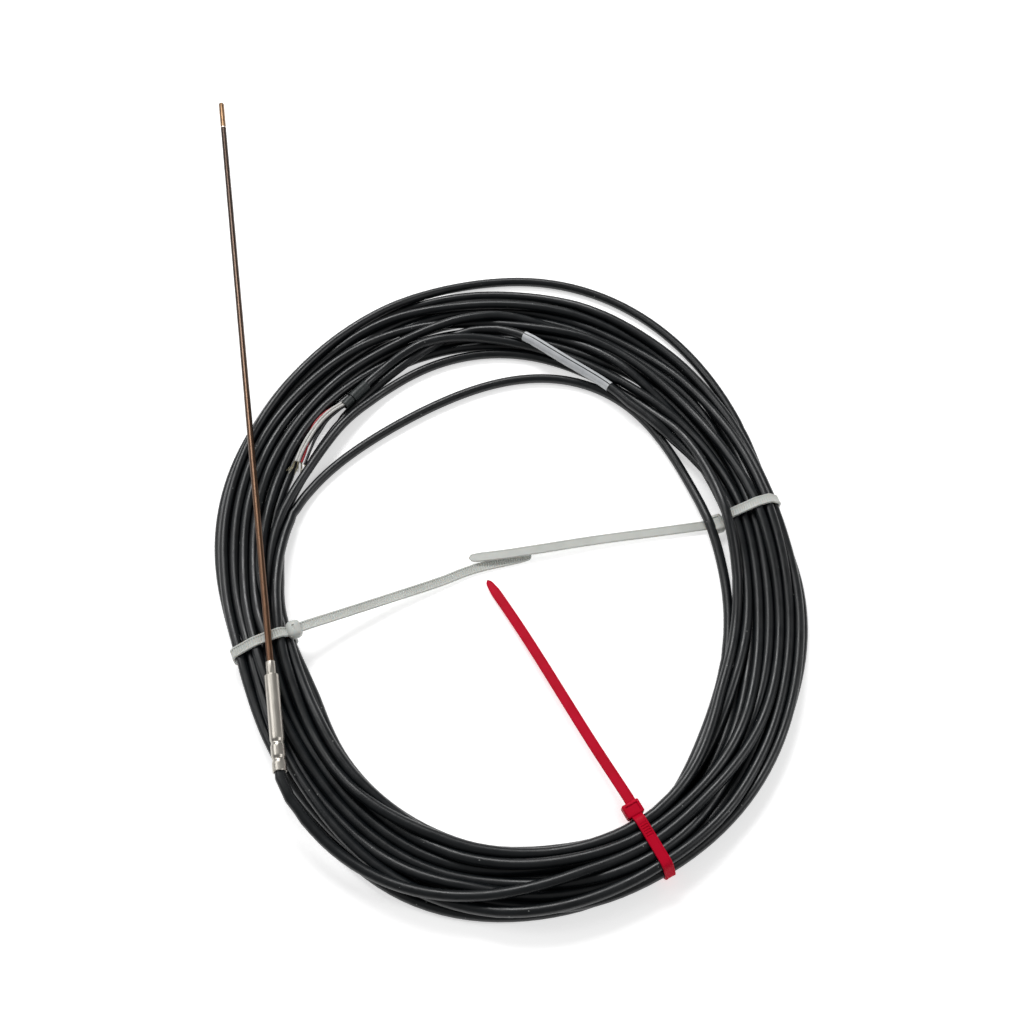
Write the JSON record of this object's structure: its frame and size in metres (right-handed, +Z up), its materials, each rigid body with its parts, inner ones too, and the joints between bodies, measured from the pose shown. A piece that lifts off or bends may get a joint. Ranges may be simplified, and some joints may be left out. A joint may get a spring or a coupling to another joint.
{
  "type": "flame sensor probe",
  "caption": "Straight metal-sheathed flame sensor probe with a stepped, crimped ferrule and a long coiled multi-core lead held by cable ties.",
  "frame": {"origin": "centre of the flat on the closed tip, on the probe's axis", "axes": "+Y along the probe's axis out of the tip, the lead leaves towards -Y, +Z up from the surface that the coil lies on"},
  "size_m": [0.2607, 0.4665, 0.02],
  "materials": {
    "tip_bronze": "satin, brown from heat",
    "pale_ring": "bright",
    "tinted_sheath": "polished, heat tinted brown",
    "ceramic": "matt",
    "nickel_wire": "drawn",
    "ferrule_steel": "fine turned, bright",
    "splice_copper": "tinned in places",
    "potting": "cured resin",
    "cable_jacket": "satin",
    "heat_shrink": "matt",
    "white_insulation": "satin",
    "red_insulation": "satin",
    "black_insulation": "satin",
    "tinned_wire": "dull tinned strands",
    "label_film": "smooth film",
    "natural_nylon": "milky, slightly see-through",
    "red_nylon": "satin"
  },
  "bodies": {
    "root": {"tip_cap": "tip_bronze", "joining_collar": "pale_ring", "sheath_tube": "tinted_sheath", "sensing_element": "ceramic", "element_lead_white_1": "nickel_wire", "element_lead_red": "nickel_wire", "element_lead_white_2": "nickel_wire", "element_lead_black": "nickel_wire", "ceramic_bead_1": "ceramic", "ceramic_bead_2": "ceramic", "ceramic_bead_3": "ceramic", "ceramic_bead_4": "ceramic", "ceramic_bead_5": "ceramic", "reducer_bush": "ferrule_steel", "ferrule_sleeve": "ferrule_steel", "splice_sleeve_white_1": "splice_copper", "splice_sleeve_red": "splice_copper", "splice_sleeve_white_2": "splice_copper", "splice_sleeve_black": "splice_copper", "core_end_white_1": "white_insulation", "core_end_red": "red_insulation", "core_end_white_2": "white_insulation", "core_end_black": "black_insulation", "potting_plug": "potting", "jacket_end": "cable_jacket", "cable_coil": "cable_jacket", "lead_run": "cable_jacket", "loose_turn": "cable_jacket", "tail_run": "cable_jacket", "long_heat_shrink": "heat_shrink", "short_heat_shrink": "heat_shrink", "free_core_white_1": "white_insulation", "free_core_red": "red_insulation", "free_core_white_2": "white_insulation", "free_core_black": "black_insulation", "bare_strands_white_1": "tinned_wire", "bare_strands_red": "tinned_wire", "bare_strands_white_2": "tinned_wire", "bare_strands_black": "tinned_wire", "marker_label": "label_film", "tie_left": "natural_nylon", "tie_right": "natural_nylon", "tie_red": "red_nylon"}
  },
  "joints": []
}
